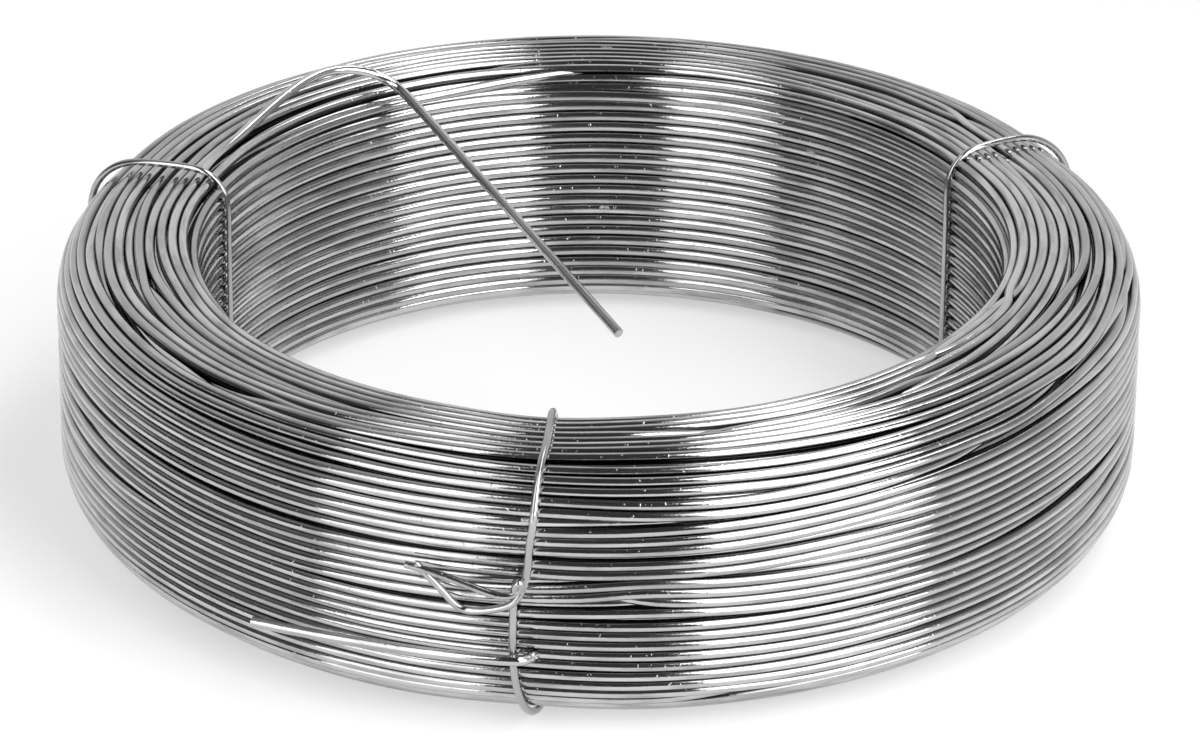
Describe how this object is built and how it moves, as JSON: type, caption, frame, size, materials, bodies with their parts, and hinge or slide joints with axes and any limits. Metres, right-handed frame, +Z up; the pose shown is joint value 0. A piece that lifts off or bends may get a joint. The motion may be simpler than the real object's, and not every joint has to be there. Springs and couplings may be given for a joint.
{
  "type": "coil of steel wire",
  "caption": "Flat-lying ring coil of bright galvanised steel wire with a wide open bore, held by bent wire ties, with both wire ends springing free.",
  "frame": {"origin": "on the coil's axis, at the level of the surface that it lies on, which the undersides of its ties touch", "axes": "+Z up along the coil's axis; -Y is the front, where one tie's hook and the wire's outer end show"},
  "size_m": [0.2116, 0.2129, 0.0612],
  "materials": {
    "coil_wire": "bright drawn wire, galvanised, satin to glossy",
    "tie_wire": "annealed galvanised tie wire, satin"
  },
  "bodies": {
    "root": {"wound_coil": "coil_wire", "inner_wire_end": "coil_wire", "outer_wire_end": "coil_wire", "tie_front": "tie_wire", "tie_left": "tie_wire", "tie_right": "tie_wire"}
  },
  "joints": []
}
